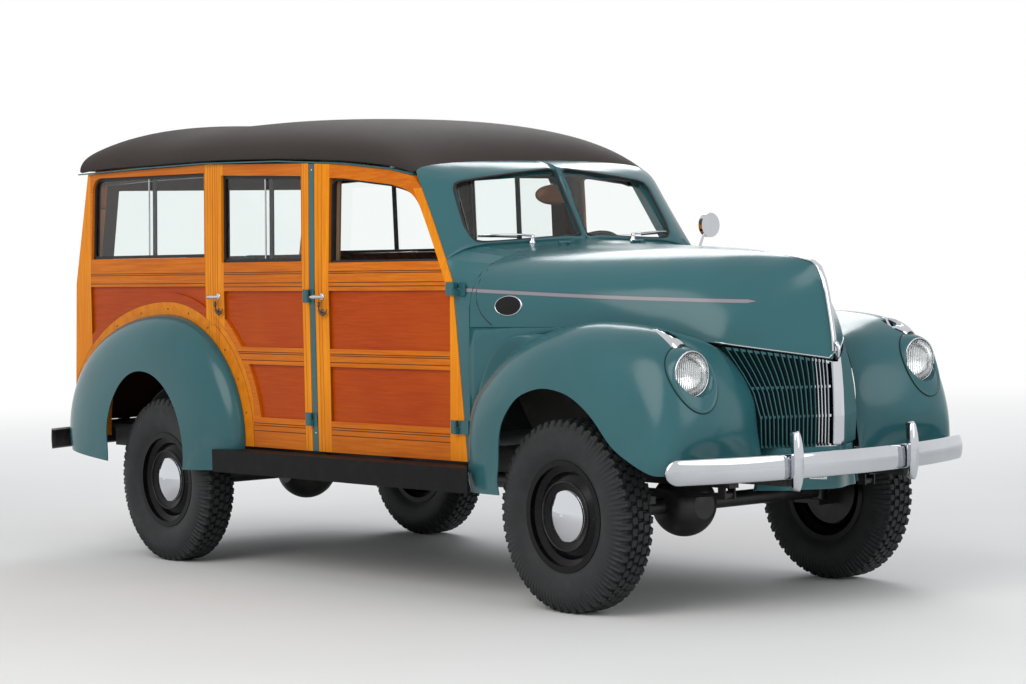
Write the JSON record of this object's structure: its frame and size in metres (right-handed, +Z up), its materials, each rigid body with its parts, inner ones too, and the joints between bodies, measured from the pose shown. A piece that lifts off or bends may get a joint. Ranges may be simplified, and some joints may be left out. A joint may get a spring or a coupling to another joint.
{
  "type": "wood-bodied station wagon",
  "caption": "Four-wheel-drive wood-bodied station wagon with hinged doors, hood, tailgate and liftgate, steered front wheels and three bench seats.",
  "frame": {"origin": "on the ground, midway between the two bumpers, on the centre plane", "axes": "+X forwards, +Y to the left, +Z up"},
  "size_m": [4.8699, 1.776, 2.065],
  "materials": {
    "steel_paint": "satin gloss",
    "frame_paint": "satin",
    "wheel_paint": "gloss",
    "tyre_rubber": "matt",
    "wood_frame": "varnished",
    "window_glass": "clear",
    "lamp_glass": "clear",
    "bright_metal": "polished",
    "board_rubber": "ribbed",
    "roof_fabric": "woven",
    "seat_leather": "satin",
    "floor_paint": "satin",
    "steering_plastic": "gloss",
    "mirror_metal": "polished"
  },
  "bodies": {
    "body": {"body_posts": "wood_frame", "chassis_frame": "frame_paint", "cowl": "steel_paint", "dashboard": "floor_paint", "door_hinges": "steel_paint", "rear_header": "wood_frame", "drip_rail": "steel_paint", "driveline": "frame_paint", "engine_block": "frame_paint", "exhaust": "frame_paint", "floor": "floor_paint", "front_apron": "steel_paint", "front_axle": "frame_paint", "front_bumper": "bright_metal", "front_fenders": "steel_paint", "fuel_tank": "frame_paint", "grille": "steel_paint", "inner_fenders": "steel_paint", "lamp_left": "lamp_glass", "lamp_right": "lamp_glass", "leaf_springs": "frame_paint", "parking_lamp_left": "lamp_glass", "parking_lamp_right": "lamp_glass", "quarter_glass": "window_glass", "quarter_panels": "wood_frame", "radiator": "frame_paint", "rear_axle": "frame_paint", "rear_bumper": "frame_paint", "rear_fenders": "steel_paint", "rear_sill": "wood_frame", "roof": "roof_fabric", "running_board_left": "board_rubber", "running_board_right": "board_rubber", "seat_front": "seat_leather", "seat_middle": "seat_leather", "seat_rear": "seat_leather", "side_mirror": "mirror_metal", "windshield_glass": "window_glass"},
    "door_front_left": {"door_front_left": "wood_frame"},
    "door_front_right": {"door_front_right": "wood_frame"},
    "door_rear_left": {"door_rear_left": "wood_frame", "door_glass_left": "window_glass"},
    "door_rear_right": {"door_rear_right": "wood_frame", "door_glass_right": "window_glass"},
    "hood": {"hood": "steel_paint"},
    "tailgate": {"tailgate": "wood_frame"},
    "liftgate": {"liftgate": "wood_frame", "liftgate_glass": "window_glass"},
    "knuckle_left": {"knuckle_left": "frame_paint"},
    "knuckle_right": {"knuckle_right": "frame_paint"},
    "wheel_front_left": {"wheel_front_left": "wheel_paint", "tyre_front_left": "tyre_rubber"},
    "wheel_front_right": {"wheel_front_right": "wheel_paint", "tyre_front_right": "tyre_rubber"},
    "wheel_rear_left": {"wheel_rear_left": "wheel_paint", "tyre_rear_left": "tyre_rubber"},
    "wheel_rear_right": {"wheel_rear_right": "wheel_paint", "tyre_rear_right": "tyre_rubber"},
    "steering_wheel": {"steering_wheel": "steering_plastic"}
  },
  "joints": [
    {"name": "door_front_left_hinge", "type": "hinge", "parent": "body", "child": "door_front_left", "pos_m": [0.88, 0.753, 0.9], "axis": [0, 0, -1], "range_deg": [0, 70]},
    {"name": "door_rear_left_hinge", "type": "hinge", "parent": "body", "child": "door_rear_left", "pos_m": [-0.125, 0.767, 0.9], "axis": [0, 0, -1], "range_deg": [0, 70]},
    {"name": "door_front_right_hinge", "type": "hinge", "parent": "body", "child": "door_front_right", "pos_m": [0.88, -0.753, 0.9], "axis": [0, 0, 1], "range_deg": [0, 70]},
    {"name": "door_rear_right_hinge", "type": "hinge", "parent": "body", "child": "door_rear_right", "pos_m": [-0.125, -0.767, 0.9], "axis": [0, 0, 1], "range_deg": [0, 70]},
    {"name": "hood_hinge", "type": "hinge", "parent": "body", "child": "hood", "pos_m": [0.9575, 0, 1.447], "axis": [0, -1, 0], "range_deg": [0, 50]},
    {"name": "tailgate_hinge", "type": "hinge", "parent": "body", "child": "tailgate", "pos_m": [-2.15468, 0, 0.622], "axis": [0, -1, 0], "range_deg": [0, 90]},
    {"name": "liftgate_hinge", "type": "hinge", "parent": "body", "child": "liftgate", "pos_m": [-2.00402, 0, 1.83], "axis": [0, 1, 0], "range_deg": [0, 85]},
    {"name": "steer_right", "type": "hinge", "parent": "body", "child": "knuckle_right", "pos_m": [1.5975, -0.629, 0.38], "axis": [0, 0, 1], "range_deg": [-28, 28]},
    {"name": "steer_left", "type": "hinge", "parent": "body", "child": "knuckle_left", "pos_m": [1.5975, 0.629, 0.38], "axis": [0, 0, 1], "range_deg": [-28, 28]},
    {"name": "steering_wheel_turn", "type": "hinge", "parent": "body", "child": "steering_wheel", "pos_m": [0.425, 0.35, 1.335], "axis": [-0.7431, 0, 0.6691], "range_deg": [-420, 420]},
    {"name": "wheel_front_left_spin", "type": "hinge", "parent": "knuckle_left", "child": "wheel_front_left", "pos_m": [1.5975, 0.729, 0.38], "axis": [0, 1, 0], "continuous": true},
    {"name": "wheel_rear_left_spin", "type": "hinge", "parent": "body", "child": "wheel_rear_left", "pos_m": [-1.2475, 0.742, 0.38], "axis": [0, 1, 0], "continuous": true},
    {"name": "wheel_front_right_spin", "type": "hinge", "parent": "knuckle_right", "child": "wheel_front_right", "pos_m": [1.5975, -0.729, 0.38], "axis": [0, 1, 0], "continuous": true},
    {"name": "wheel_rear_right_spin", "type": "hinge", "parent": "body", "child": "wheel_rear_right", "pos_m": [-1.2475, -0.742, 0.38], "axis": [0, 1, 0], "continuous": true}
  ],
  "couplings": [
    {"joint": "steer_left", "follows": "steer_right", "ratio": 1},
    {"joint": "steering_wheel_turn", "follows": "steer_right", "ratio": 15}
  ]
}
